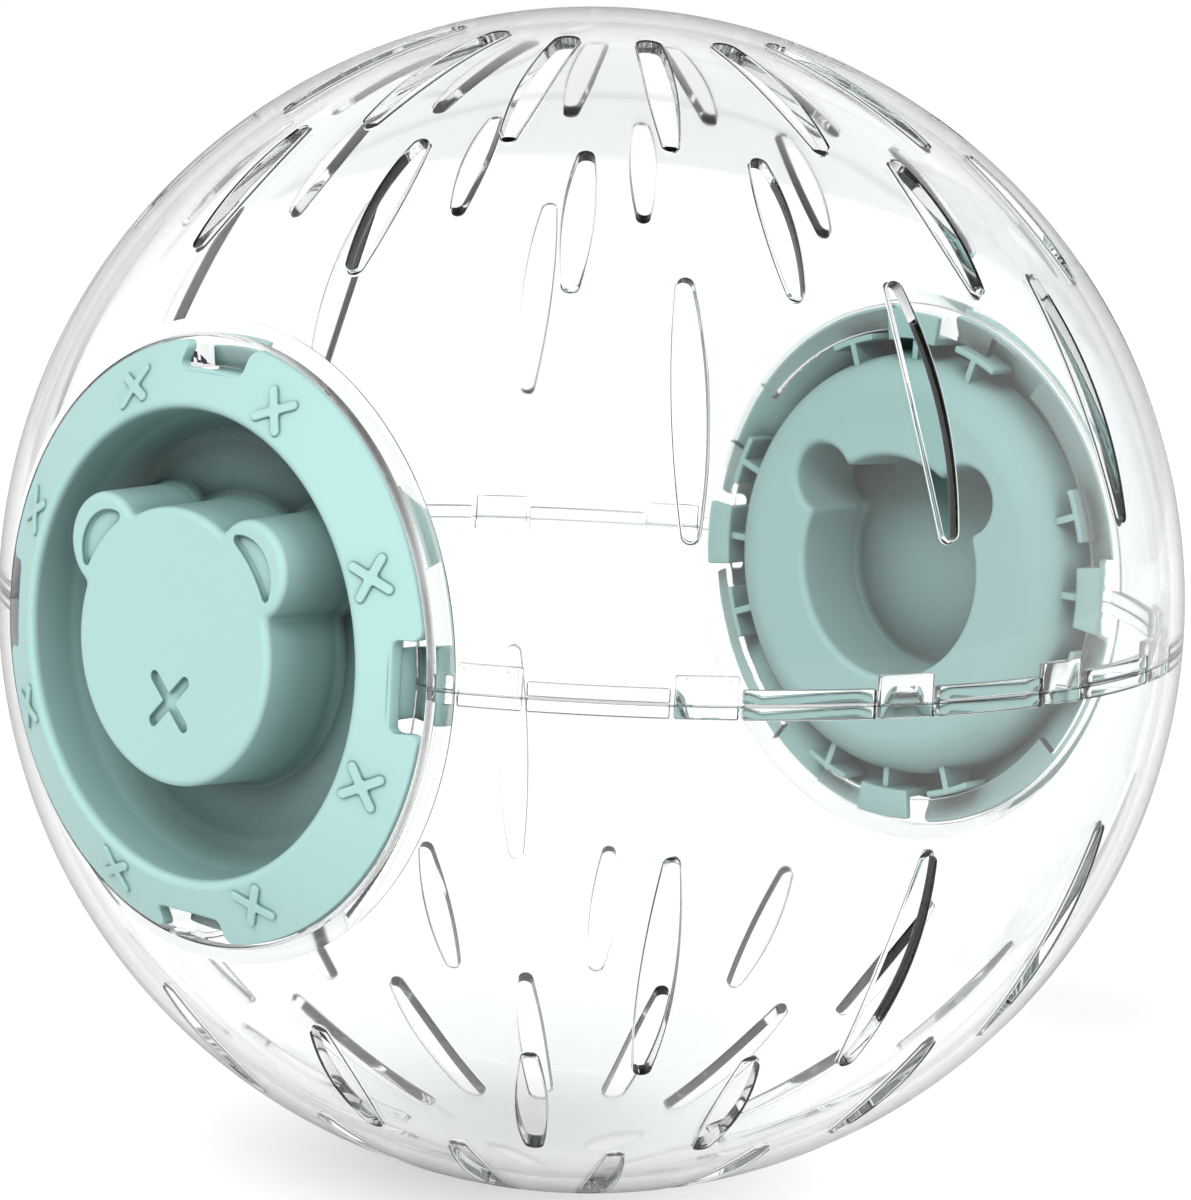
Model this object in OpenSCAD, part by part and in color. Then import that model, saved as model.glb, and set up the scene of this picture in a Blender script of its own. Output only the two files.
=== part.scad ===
// Two-part clear ball with a pair of quarter-turn bayonet doors.
// Origin at the ball's centre, +Z up, seam in the XY plane, door axis along X.

/* [Ball] */
// Outside diameter of the closed ball
ball_d = 185; // [150:1:215]
// Wall of the two clear shells
wall_t = 2.2; // [1.6:0.1:3]

/* [Vent slots] */
// Slot columns round the ball, an even number so that both doors sit alike
slot_columns = 14; // [10:2:16]
// Row nearest the pole: latitude of its middle, in degrees
pole_row_lat = 64; // [62:0.5:66]
// Row nearest the pole: angle from end to end, in degrees
pole_row_arc = 19.5; // [12:0.5:20]
// Middle row: latitude of its middle, in degrees
mid_row_lat = 45; // [43:0.5:47]
// Middle row: angle from end to end, in degrees
mid_row_arc = 16; // [10:0.5:17]
// Row nearest the seam: latitude of its middle, in degrees
seam_row_lat = 26.5; // [25:0.5:28]
// Row nearest the seam: angle from end to end, in degrees
seam_row_arc = 24.5; // [14:0.5:26]
// Width of a slot's widest place, pole row
pole_slot_w = 4.2; // [3:0.1:5]
// Width of a slot's widest place, middle row
mid_slot_w = 4.4; // [3:0.1:5]
// Width of a slot's widest place, seam row
seam_slot_w = 5; // [3.6:0.1:6]
// Width of the wide end of a pole row slot
pole_slot_end_w = 3.6; // [2.6:0.1:4]
// Width of every other slot end
slot_end_w = 2.4; // [1.8:0.1:2.8]

/* [Seam] */
// Height of the rim bars on each half
rim_h = 2.1; // [1.5:0.1:3]
// How far the rim bars stand in from the wall
rim_in = 1.5; // [1:0.1:2.5]
// Snap tongues on each side, between the doors
tongues_a_side = 6; // [3:1:6]
// Angle from one tongue to the next, in degrees
tongue_pitch = 19.3; // [16:0.1:19.5]
// Angle from square to the door axis to the middle of a side's tongues, in degrees
tongue_shift = 7.5; // [0:0.5:8]
// Width of a tongue along the rim, in degrees
tongue_arc = 5.8; // [3:0.1:7]
// Room in the rim beside a tongue, in degrees
tongue_room = 0.4; // [0.2:0.1:1]
// Height of a tongue above the seam
tongue_h = 4; // [2.5:0.1:5]
// Running gap between a tongue and the upper wall
tongue_gap = 0.35; // [0.3:0.05:0.5]

/* [Door opening] */
// Diameter of the hole inside the ledge that carries the door
hole_d = 80; // [79.4:0.1:81]
// Thickness of the ledge
ledge_t = 1.6; // [1.2:0.1:2.2]
// Width of the ledge ring outside the door's seat
ring_w = 2.2; // [1.5:0.1:3.5]
// Gap all round the door's rim, and under it
seat_gap = 0.3; // [0.2:0.05:0.6]

/* [Door] */
// Outside diameter of the door's flange
flange_d = 88.4; // [88:0.1:89.4]
// Thickness of the flange and of the dish wall
door_t = 2; // [1.6:0.1:2.4]
// Diameter of the dish at its mouth
mouth_d = 68.6; // [66:0.1:70]
// Depth of the dish below its mouth
dish_depth = 11.4; // [9:0.1:13]
// Slope of the dish's side, in degrees
dish_draft = 5; // [1:0.5:8]
// Rounding between the dish's side and its floor
dish_round = 5; // [3:0.1:7]
// Rounding of the dish's mouth
mouth_round = 1.2; // [0.6:0.1:2]
// Width of a notch in the flange
notch_w = 13.2; // [12:0.1:15]
// Depth of a notch from the flange's edge
notch_depth = 4.4; // [3:0.1:5]
// Rounding of the flange's corners at a notch
notch_round = 1.4; // [0.5:0.1:2]
// Rounding of a notch's inner corners
notch_inner_round = 0.9; // [0.4:0.1:1.2]
// Rounding of the flange's rim
rim_round = 0.5; // [0.2:0.1:0.8]

/* [Bayonet] */
// Lugs round each door, one behind each notch
lugs = 4; // [4:1:4]
// Width of a lug
lug_w = 11.2; // [9:0.1:13]
// Thickness of a lug and of its stem
lug_t = 1.4; // [1.2:0.1:2.6]
// Diameter over the lugs
lug_d = 86.4; // [84:0.1:87]
// Gap between a lug and the ledge above it
lug_gap = 0.25; // [0.15:0.05:0.6]
// Room beside and outside a lug where it passes the ledge
entry_gap = 0.5; // [0.3:0.1:0.8]
// Turn from locked to free, in degrees
door_turn = 30; // [26:1:34]
// Room between the hole and whatever of the door turns in it
turn_gap = 0.4; // [0.3:0.05:0.8]

/* [Stand-offs] */
// Angle from a lug to the stand-off on each side of it, in degrees
standoff_angle = 20; // [18:0.5:24]
// Length of a stand-off's plate
standoff_w = 9; // [5:0.1:10]
// Thickness of a stand-off's plate and rib
standoff_t = 1.1; // [0.8:0.1:1.6]
// How far a stand-off stops short of the lug's inner face
standoff_step = 0.6; // [0.4:0.1:3]

/* [Raised crosses] */
// Raised crosses round the flange
crosses = 8; // [4:4:12]
// Length of a cross's bar
cross_l = 7.8; // [5:0.1:8.2]
// Width of a cross's bar
cross_w = 1.4; // [1:0.1:2]
// Height of a cross above the flange
cross_h = 0.5; // [0.3:0.05:0.8]

/* [Bear knob] */
// Diameter of the round head at its face
head_d = 40.6; // [36:0.1:42]
// Diameter of an ear at its face
ear_d = 14.8; // [12:0.1:15.6]
// Angle of an ear above the level, in degrees
ear_angle = 40.5; // [36:0.5:48]
// Height of the knob above the dish's floor
knob_h = 14.1; // [10:0.1:16]
// Slope of the knob's side, in degrees
knob_draft = 2; // [0.5:0.5:3]
// Rounding of the knob's edge
knob_round = 1.2; // [0.6:0.1:2]
// Rounding where the knob meets the dish's floor
knob_root = 1.2; // [0.6:0.1:2]
// Wall of the hollow knob
knob_wall = 2; // [1.5:0.1:2.6]
// Depth of the half-moon in each ear
moon_recess = 0.9; // [0.4:0.1:1.3]
// Diameter of an ear's half-moon
moon_d = 12.4; // [9:0.1:12.8]
// Distance of a half-moon's centre from the middle of the face
moon_place = 18.4; // [17:0.1:19]
// Ridge left between a half-moon and the head's circle
moon_gap = 0.6; // [0.3:0.1:1.5]
// Length of a bar of the cross on the face
mouth_l = 10.8; // [7:0.1:13]
// Width of a bar of the cross on the face
mouth_w = 1.7; // [1.2:0.1:2.4]
// Depth of the cross on the face
mouth_recess = 0.8; // [0.4:0.1:1.3]
// Distance of the cross below the middle of the face
mouth_drop = 8; // [4:0.1:10]
// Angle of the cross's bars from the level, in degrees
mouth_angle = 48; // [40:1:55]

/* [Hidden] */
$fn = 96;
// One overrun serves all cuts, and one overlap all fused faces
over = wall_t;
bite = wall_t / 4;

ball_r = ball_d / 2;
inner_r = ball_r - wall_t;
rim_r = inner_r - rim_in;
tongue_r = cap(inner_r, tongue_h) - tongue_gap;
column_step = 360 / slot_columns;
tongues = 2 * tongues_a_side;
// Where tongue i stands round the seam, counted on through both sides
function tongue_at(i) =
    90 + 180 * floor(i / tongues_a_side) - tongue_shift
    + (i % tongues_a_side - (tongues_a_side - 1) / 2) * tongue_pitch;
// Flats that stand for a slot's curved side, for a quarter of its end and for a small rounding
side_steps = 5;
end_steps = 4;
round_steps = 5;

flange_r = flange_d / 2;
seat_r = flange_r + seat_gap;
ring_r = seat_r + ring_w;
hole_r = hole_d / 2;
mouth_r = mouth_d / 2;
lug_r = lug_d / 2;
lug_arc = 2 * asin(lug_w / 2 / lug_r);
entry_r = lug_r + entry_gap;
entry_arc = 2 * asin((lug_w / 2 + entry_gap) / lug_r);
turn_r = hole_r - turn_gap;
mid_r = ball_r - door_t / 2;

// Height of the sphere of radius r over a circle of radius a round the door's axis
function cap(r, a) = sqrt(r * r - a * a);
// Unit vector at an angle, and points on an arc round c from angle a0 to a1
function ray(a) = [cos(a), sin(a)];
function arc(c, r, a0, a1, steps) =
    [for (i = [0 : steps]) c + r * ray(a0 + (a1 - a0) * i / steps)];
// Points on the sphere of radius r from one distance off the door's axis to another
function cap_arc(r, from, to, steps) =
    [for (i = [0 : steps]) let (a = from + (to - from) * i / steps) [a, cap(r, a)]];

// Heights along the door's axis, from the ball's centre outwards
rim_back = cap(ball_r - door_t, flange_r);
ledge_front = rim_back - seat_gap;
ledge_back = ledge_front - ledge_t;
lug_front = ledge_back - lug_gap;
lug_back = lug_front - lug_t;
mouth_top = cap(ball_r, mouth_r);
floor_h = mouth_top - dish_depth;
floor_back = floor_h - door_t;
face_h = floor_h + knob_h;

// Door openings: only slot columns that miss the door's ring have a seam row slot
ring_angle = asin(ring_r / ball_r);
seam_row_low = seam_row_lat - seam_row_arc / 2;
function off_axis(lat, lon) = acos(cos(lat) * abs(cos(lon)));
function clears_door(lon) = off_axis(seam_row_low, lon) > ring_angle + 2;

// Ear places on the face
head_r = head_d / 2;
ear_r = ear_d / 2;
ear_places = [[head_r * cos(ear_angle), head_r * sin(ear_angle)],
              [-head_r * cos(ear_angle), head_r * sin(ear_angle)]];

// Ring sector standing between two radii and two heights, centred on +X
module sector(r0, r1, z0, z1, angle) {
    rotate([0, 0, -angle / 2])
        rotate_extrude(angle = angle)
            translate([r0, z0]) square([r1 - r0, z1 - z0]);
}

module shell_wall() {
    difference() {
        rotate([0, 0, column_step / 4]) sphere(ball_r, $fn = 180);
        rotate([0, 0, column_step / 4]) sphere(inner_r, $fn = 180);
        translate([0, 0, -ball_d]) cube(2 * ball_d, center = true);
    }
}

// Rim bars run from tongue to tongue, and past the doors; way is 1, or -1 for a half turned over
module rim_bars(way) {
    room = tongue_arc + 2 * tongue_room;
    for (i = [0 : tongues - 1]) {
        next = i + 1 < tongues ? tongue_at(i + 1) : tongue_at(0) + 360;
        rotate([0, 0, way * (tongue_at(i) + next) / 2])
            sector(rim_r, inner_r + bite, 0, rim_h, next - tongue_at(i) - room);
    }
}

// Ledge ring of one door opening, the half that belongs to the upper shell
module half_ledge() {
    rotate([0, 0, 90]) sector(hole_r, ring_r, ledge_back, ledge_front, 180);
}

// Everything a door and its lugs need clear
module door_room() {
    translate([0, 0, ledge_front]) cylinder(h = ball_r - ledge_front, r = seat_r);
    translate([0, 0, lug_back]) cylinder(h = ball_r - lug_back, r = hole_r);
    for (i = [0 : lugs - 1])
        rotate([0, 0, door_turn + i * 360 / lugs])
            sector(hole_r - over, entry_r, lug_back, ledge_front + bite, entry_arc);
}

// Right-hand edge of half a petal from its widest place at the origin up to its round end's tip
function petal_edge(l, w, end_w) =
    let (
        sag = (w - end_w) / 2,
        side_r = ((l - end_w / 2) * (l - end_w / 2) + sag * sag) / (2 * sag),
        sweep = asin((l - end_w / 2) / side_r),
        end_r = end_w / 2 / cos(sweep)
    )
    concat(arc([w / 2 - side_r, 0], side_r, 0, sweep, side_steps),
           arc([0, l - end_w / 2 - end_r * sin(sweep)], end_r, sweep + 90 / end_steps, 90, end_steps));

function flip_x(points) = [for (i = [len(points) - 2 : -1 : 0]) [-points[i][0], points[i][1]]];
function turned(points) = [for (p = points) -p];
function petal_half(l, w, end_w) = let (e = petal_edge(l, w, end_w)) concat(e, flip_x(e));

// A vent slot cut square to the wall at its own middle, pole end towards +Z
module slot(lat, lon, arc_deg, w, pole_w, seam_w) {
    half = ball_r * sin(arc_deg / 2);
    low = ball_r * cos(arc_deg / 2) - 2 * wall_t;
    rotate([0, 90 - lat, lon])
        translate([0, 0, low])
            linear_extrude(height = ball_r - low + over)
                rotate([0, 0, 90])
                    polygon(concat(petal_half(half, w, pole_w), turned(petal_half(half, w, seam_w))));
}

module slots() {
    for (i = [0 : slot_columns - 1]) {
        lon = i * column_step;
        slot(pole_row_lat, lon, pole_row_arc, pole_slot_w, pole_slot_end_w, slot_end_w);
        slot(mid_row_lat, lon + column_step / 2, mid_row_arc, mid_slot_w, slot_end_w, slot_end_w);
        if (clears_door(lon))
            slot(seam_row_lat, lon, seam_row_arc, seam_slot_w, slot_end_w, slot_end_w);
    }
}

// Puts a door, or what is made for one, on the +X or the -X side of the ball
module on_side(side) {
    rotate([90, 0, 90 * side]) children();
}

// The upper half; the lower one is the same turned over about the door axis
module half_ball(way) {
    difference() {
        union() {
            shell_wall();
            rim_bars(way);
            for (side = [1, -1]) on_side(side) half_ledge();
        }
        for (side = [1, -1]) on_side(side) door_room();
        slots();
    }
}

// Snap tongues that stand up from the lower half, in the gaps between the upper one's bars
module snap_tongues() {
    for (i = [0 : tongues - 1])
        rotate([0, 0, tongue_at(i)]) {
            sector(rim_r, inner_r + bite, -rim_h, -tongue_gap, tongue_arc);
            sector(rim_r, tongue_r, -rim_h, tongue_h, tongue_arc);
        }
}

module upper_shell() {
    color([0.86, 0.94, 0.95, 0.4]) half_ball(1);
}

module lower_shell() {
    color([0.82, 0.91, 0.93, 0.4]) {
        rotate([180, 0, 0]) half_ball(-1);
        snap_tongues();
    }
}

// Dish side in outline: it slopes inwards and down from the mouth, and ends on the corner round
down_side = [-sin(dish_draft), -cos(dish_draft)];
outwards = ray(-dish_draft);
mouth_edge = [mouth_r, mouth_top];
side_l = (dish_depth - dish_round * (1 - sin(dish_draft))) / cos(dish_draft);
side_end = mouth_edge + side_l * down_side;
corner = side_end - dish_round * outwards;

// Where the outside of the dish meets the back of the flange
wall_foot = side_end + door_t * outwards;
foot_dot = wall_foot * down_side;
meet = wall_foot
    - (foot_dot + sqrt(foot_dot * foot_dot - wall_foot * wall_foot + pow(ball_r - door_t, 2))) * down_side;

// Centre of the mouth's rounding, which touches the sphere and the dish side
lip_base = mouth_edge + mouth_round * outwards;
lip_dot = lip_base * down_side;
lip = lip_base
    + (-lip_dot - sqrt(lip_dot * lip_dot - lip_base * lip_base + pow(ball_r - mouth_round, 2))) * down_side;
lip_angle = atan2(lip[1], lip[0]);
lip_top = ball_r * ray(lip_angle);

// Centres of the roundings on the flange's rim, front and back
rim_front_c = [flange_r - rim_round, cap(ball_r - rim_round, flange_r - rim_round)];
rim_back_c = [flange_r - rim_round, cap(ball_r - door_t + rim_round, flange_r - rim_round)];
rim_front_angle = atan2(rim_front_c[1], rim_front_c[0]);
rim_back_angle = atan2(rim_back_c[1], rim_back_c[0]);

function door_outline() = concat(
    [[0, floor_back]],
    arc(corner, dish_round + door_t, -90, -dish_draft, 2 * round_steps),
    cap_arc(ball_r - door_t, meet[0], (ball_r - door_t) * cos(rim_back_angle), 2 * round_steps),
    arc(rim_back_c, rim_round, rim_back_angle - 180 + 90 / round_steps, 0, round_steps),
    arc(rim_front_c, rim_round, 0, rim_front_angle - 90 / round_steps, round_steps),
    cap_arc(ball_r, ball_r * cos(rim_front_angle), lip_top[0], 2 * round_steps),
    arc(lip, mouth_round, lip_angle + 90 / round_steps, 180 - dish_draft, round_steps),
    arc(corner, dish_round, -dish_draft, -90, 2 * round_steps),
    [[0, floor_h]]
);

// Notch outline, along +X, with the flange's corners rounded beside it
function notch_side() =
    let (
        cy = notch_w / 2 + notch_round,
        c = [cap(flange_r - notch_round, cy), -cy],
        end = -atan2(cy, c[0]),
        inner_c = [flange_r - notch_depth, -notch_w / 2] + notch_inner_round * [1, 1]
    )
    concat(
        arc(inner_c, notch_inner_round, 180, 270, round_steps),
        arc(c, notch_round, 90, end, round_steps),
        [(flange_r + over) * ray(end)]
    );
function flip_y(points) = [for (i = [len(points) - 1 : -1 : 0]) [points[i][0], -points[i][1]]];

module dish_and_flange() {
    difference() {
        rotate([0, 0, 45]) rotate_extrude() polygon(door_outline());
        for (i = [0 : lugs - 1])
            rotate([0, 0, i * 360 / lugs])
                translate([0, 0, rim_back - over])
                    linear_extrude(height = ball_r - rim_back + over)
                        polygon(concat(notch_side(), flip_y(notch_side())));
    }
}

// Middle of the dish wall beside a height, for what grows out of it
wall_mid = corner[0] + dish_round + door_t / 2;

// Radial rib from the dish wall to a radius, under the flange
module rib(r, low, t) {
    rotate([90, 0, 0])
        translate([0, 0, -t / 2])
            linear_extrude(height = t)
                polygon([
                    [wall_mid, low],
                    [r, low],
                    [r, cap(mid_r, r)],
                    [mouth_r + door_t / 2, cap(mid_r, mouth_r + door_t / 2)],
                    [wall_mid, corner[1]]
                ]);
}

// Hook behind the ledge, with the stem that carries it through the hole and a rib to the dish
module lug() {
    stem_r = turn_r - lug_t;
    rotate([0, 0, -lug_arc / 2])
        rotate_extrude(angle = lug_arc)
            polygon([
                [stem_r, lug_back],
                [lug_r, lug_back],
                [lug_r, lug_front],
                [turn_r, lug_front],
                [turn_r, cap(mid_r, turn_r)],
                [stem_r, cap(mid_r, stem_r)]
            ]);
    rib(stem_r + lug_t / 2, lug_back + standoff_step, standoff_t);
}

// T-shaped stand-off: a plate that steadies the door in the hole, on a rib
module standoff() {
    plate_arc = 2 * asin(standoff_w / 2 / turn_r);
    plate_r = turn_r - standoff_t;
    low = lug_back + standoff_step;
    rotate([0, 0, -plate_arc / 2])
        rotate_extrude(angle = plate_arc)
            polygon([
                [plate_r, low],
                [turn_r, low],
                [turn_r, cap(mid_r, turn_r)],
                [plate_r, cap(mid_r, plate_r)]
            ]);
    rib(plate_r + standoff_t / 2, low, standoff_t);
}

// Bar with round ends, centred, along X
module bar(l, w) {
    square([l - w, w], center = true);
    for (s = [1, -1]) translate([s * (l - w) / 2, 0]) circle(d = w, $fn = 32);
}

// Raised crosses lie between the notches, in pairs, half way across the flange
cross_r = (flange_r + mouth_r) / 2 - rim_round;

module raised_crosses() {
    intersection() {
        sphere(ball_r + cross_h, $fn = 180);
        for (i = [0 : crosses - 1])
            rotate([0, asin(cross_r / ball_r), (i + 1 / 2) * 360 / crosses])
                translate([0, 0, ball_r - door_t / 2])
                    for (turn = [45, -45])
                        rotate([0, 0, turn]) linear_extrude(height = door_t) bar(cross_l, cross_w);
    }
}

// Round boss standing on the dish's floor: drafted side, rounded edge, cove at its foot
module boss(r) {
    edge = [r - knob_round, knob_h - knob_round];
    side_foot = edge + knob_round * ray(knob_draft);
    foot_r = side_foot[0] + (side_foot[1] - knob_root) * tan(knob_draft) + knob_root;
    translate([0, 0, floor_h])
        rotate_extrude()
            polygon(concat(
                [[0, -bite], [foot_r, -bite]],
                arc([foot_r, knob_root], knob_root, 270, 180, round_steps),
                arc(edge, knob_round, knob_draft, 90, round_steps),
                [[0, knob_h]]
            ));
}

// Hollow behind a boss: drafted side, rounded end, and a rounded mouth at the back
module hollow(r) {
    depth = knob_h + door_t - knob_wall;
    edge = [r - knob_round, depth - knob_round];
    side_foot = edge + knob_round * ray(knob_draft);
    foot_r = side_foot[0] + (side_foot[1] - knob_root) * tan(knob_draft) + knob_root;
    translate([0, 0, floor_back])
        rotate_extrude()
            polygon(concat(
                [[0, -over], [foot_r, -over]],
                arc([foot_r, knob_root], knob_root, 270, 180, round_steps),
                arc(edge, knob_round, knob_draft, 90, round_steps),
                [[0, depth]]
            ));
}

module knob() {
    boss(head_r);
    for (p = ear_places) translate(p) boss(ear_r);
}

module knob_hollow() {
    hollow(head_r - knob_wall);
    for (p = ear_places) translate(p) hollow(ear_r - knob_wall);
}

// Half-moons in the ears, bounded by a circle round the head, and the cross under them
module face_marks() {
    for (p = ear_places)
        translate([0, 0, face_h - moon_recess])
            difference() {
                translate(p * moon_place / head_r) cylinder(h = knob_h, d = moon_d);
                translate([0, 0, -over]) cylinder(h = 2 * knob_h, r = head_r + moon_gap);
            }
    for (turn = [mouth_angle, -mouth_angle])
        translate([0, -mouth_drop, face_h - mouth_recess])
            rotate([0, 0, turn]) linear_extrude(height = knob_h) bar(mouth_l, mouth_w);
}

module door() {
    difference() {
        union() {
            dish_and_flange();
            knob();
            raised_crosses();
            for (i = [0 : lugs - 1])
                rotate([0, 0, i * 360 / lugs]) {
                    lug();
                    for (s = [1, -1]) rotate([0, 0, s * standoff_angle]) standoff();
                }
        }
        knob_hollow();
        face_marks();
    }
}

module left_door() {
    color([0.70, 0.89, 0.86]) on_side(-1) door();
}

module right_door() {
    color([0.70, 0.89, 0.86]) on_side(1) door();
}

lower_shell();
upper_shell();
left_door();
right_door();
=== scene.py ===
# %% [markdown]
# # A clear exercise ball with two bayonet doors
#
# The real object is four mouldings: two crystal-clear half shells that snap together round the
# middle, and two mint doors that sit in round openings and unlock with a short turn. The packed
# CAD model brings the sizes, the bodies and their joints. This script dresses it: each piece is
# rebuilt with rounded edges and true surfaces, and given its plastic.

# %% The frame and the tools
import bpy, bmesh, math
from collections import Counter
import numpy as np
from mathutils import Matrix, Vector


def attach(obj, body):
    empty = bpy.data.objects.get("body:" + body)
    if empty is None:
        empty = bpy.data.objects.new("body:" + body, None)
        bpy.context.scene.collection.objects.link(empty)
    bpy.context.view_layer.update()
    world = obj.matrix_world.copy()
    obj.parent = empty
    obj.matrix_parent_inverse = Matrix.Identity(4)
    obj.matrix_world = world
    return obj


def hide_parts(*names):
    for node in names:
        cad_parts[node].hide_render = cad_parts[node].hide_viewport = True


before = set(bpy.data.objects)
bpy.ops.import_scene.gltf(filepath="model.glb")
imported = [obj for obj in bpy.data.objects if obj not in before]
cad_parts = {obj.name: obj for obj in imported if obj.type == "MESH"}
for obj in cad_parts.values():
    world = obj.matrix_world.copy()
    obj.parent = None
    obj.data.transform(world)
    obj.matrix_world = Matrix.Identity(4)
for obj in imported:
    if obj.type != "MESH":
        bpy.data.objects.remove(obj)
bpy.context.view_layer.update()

# %% [markdown]
# ## Sizes
#
# One table of sizes feeds every piece, so the parts stay fitted to each other. They are the
# values of the CAD source, in metres.

# %% Sizes
MM = 0.001
BALL_R, WALL = 92.5 * MM, 2.2 * MM
INNER_R = BALL_R - WALL
RIM_R, RIM_H = INNER_R - 1.5 * MM, 2.1 * MM
HOLE_R, SEAT_R, RING_R = 40 * MM, 44.5 * MM, 46.7 * MM
FLANGE_R, DOOR_T, MOUTH_R = 44.2 * MM, 2 * MM, 34.3 * MM
DISH_DEPTH, KNOB_H = 11.4 * MM, 14.1 * MM
LEDGE_T, LUG_T = 1.6 * MM, 1.4 * MM
SEAT_GAP, LUG_GAP = 0.3 * MM, 0.25 * MM   # from flange to ledge, and from ledge to lug
HAIR = 0.06 * MM                          # half the gap seen between the two half shells


def cap(r, a):
    """Height of the sphere of radius r over a circle of radius a round an axis."""
    return np.sqrt(r * r - a * a)


# Heights along a door's axis, from the ball's centre outwards
FLANGE_BACK = cap(BALL_R - DOOR_T, FLANGE_R)
LEDGE_FRONT = FLANGE_BACK - SEAT_GAP
LEDGE_BACK = LEDGE_FRONT - LEDGE_T
LUG_FRONT = LEDGE_BACK - LUG_GAP
LUG_BACK = LUG_FRONT - LUG_T
MOUTH_TOP = cap(BALL_R, MOUTH_R)
FLOOR = MOUTH_TOP - DISH_DEPTH
FACE = FLOOR + KNOB_H
print("door floor at %.1f mm, knob face at %.1f mm" % (FLOOR / MM, FACE / MM))

# %% [markdown]
# ## Building blocks
#
# Nearly every surface here is a loft: a row of closed loops with the same number of points,
# joined by quads and capped at both ends. A loft always closes, which glass needs: light must
# enter and leave the plastic the same number of times.

# %% Plain meshes
def add_mesh(name, points, faces):
    mesh = bpy.data.meshes.new(name)
    mesh.from_pydata([tuple(p) for p in points], [], faces)
    mesh.validate()
    piece = bpy.data.objects.new(name, mesh)
    bpy.context.scene.collection.objects.link(piece)
    return piece


def outward(piece):
    """Turns a closed mesh's faces to point out."""
    bm = bmesh.new()
    bm.from_mesh(piece.data)
    bmesh.ops.remove_doubles(bm, verts=bm.verts, dist=1e-7)
    bmesh.ops.recalc_face_normals(bm, faces=bm.faces)
    bm.to_mesh(piece.data)
    bm.free()
    return piece


# %% Lofts and lathes
SEGMENTS = 224           # steps in a whole turn


def loft(name, loops, ring=False):
    """Joins loops of points by quads. A ring closes on itself, and otherwise each end is capped."""
    n, points = len(loops[0]), np.vstack(loops)
    faces = []
    for k in range(len(loops) if ring else len(loops) - 1):
        a, b = k * n, (k + 1) % len(loops) * n
        faces += [(a + i, a + (i + 1) % n, b + (i + 1) % n, b + i) for i in range(n)]
    if not ring:
        faces += [tuple(range(n)), tuple(range(len(points) - n, len(points)))]
    return outward(add_mesh(name, points, faces))


def lathe(name, profile, segments=SEGMENTS, start=0.0, turn=360.0):
    """Turns a closed outline in (radius, height) about Z, all the way or through an angle."""
    whole = turn >= 360
    steps = segments if whole else max(2, int(segments * turn / 360))
    loops = []
    for i in range(steps if whole else steps + 1):
        a = math.radians(start + turn * i / steps)
        loops.append([(r * math.cos(a), r * math.sin(a), z) for r, z in profile])
    return loft(name, loops, ring=whole)


print("a whole turn has", SEGMENTS, "steps")


# %% Arcs and offsets
def arc(centre, r, a0, a1, steps):
    """Points on an arc, angles in degrees, both ends included."""
    t = np.radians(np.linspace(a0, a1, steps + 1))
    return np.c_[centre[0] + r * np.cos(t), centre[1] + r * np.sin(t)]


def offset(outline, d):
    """A closed outline, counter-clockwise, moved outwards by d."""
    out = np.asarray(outline, float)
    t = np.roll(out, -1, axis=0) - np.roll(out, 1, axis=0)
    t /= np.linalg.norm(t, axis=1)[:, None]
    return out + d * np.c_[t[:, 1], -t[:, 0]]


print("a quarter arc:", arc((0, 0), 1, 0, 90, 3).round(2).tolist())

# %% [markdown]
# ## Cutters that round what they cut
#
# A moulded edge is never sharp. Instead of bevelling the result, which is fragile on curved
# walls, the cutter itself flares where it breaks a surface, so the edge it leaves is round.

# %% Flared cutters
FLARE_TO = 72            # degrees of the rounding that the cutter follows
FLARE_STEPS = 4
FLARE_RUN = 0.4          # how far it then runs on straight, as a share of the rounding's radius
OVER = 2 * MM            # how far a cutter stands out of the wall that it cuts


def flare(edge):
    """Steps of a cutter's rim, as how far out of its side and how far below the surface."""
    last = math.radians(FLARE_TO)
    steps = [(edge * (1 - math.cos(a)), edge * (1 - math.sin(a)))
             for a in np.radians(np.linspace(0, FLARE_TO, FLARE_STEPS + 1))]
    out, below = steps[-1]
    return steps + [(out + math.sin(last) * FLARE_RUN * edge,
                     below - math.cos(last) * FLARE_RUN * edge)]


def flared_cutter(name, outline, top, bottom, edge):
    """A plug through a wall between two surfaces, given as heights over (x, y), which rounds
    both edges by the radius edge."""
    rings = []

    def ring(d, height):
        o = offset(outline, d)
        rings.append(np.c_[o, height(o[:, 0], o[:, 1])])

    steps = flare(edge)
    widest = steps[-1][0]
    low = min(bottom(outline[:, 0], outline[:, 1])) - OVER
    high = max(top(outline[:, 0], outline[:, 1])) + OVER
    ring(widest, lambda x, y: np.full(len(x), low))
    for out, below in steps[::-1]:
        ring(out, lambda x, y: bottom(x, y) + below)
    for out, below in steps:
        ring(out, lambda x, y: top(x, y) - below)
    ring(widest, lambda x, y: np.full(len(x), high))
    return loft(name, rings)


print("a flare stands out by %.2f of its radius" % flare(1)[-1][0])

# %% [markdown]
# ## Rings of parts with Geometry Nodes
#
# The ball is full of rings: slots round the poles, bars and tongues round the seam, notches, lugs
# and crosses round each door. One node group places copies of a part round the Z axis, in evenly
# spread groups, and can leave out those that would run into a door. Two trees use it: one cuts the
# ring out of a piece, the other joins it on.

# %% Small helpers for node trees
def socket(tree, name, kind, way="INPUT", value=None):
    s = tree.interface.new_socket(name=name, in_out=way, socket_type=kind)
    if value is not None:
        s.default_value = value
    return s


def node(tree, kind, **settings):
    n = tree.nodes.new(kind)
    for key, value in settings.items():
        setattr(n, key, value)
    return n


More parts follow.
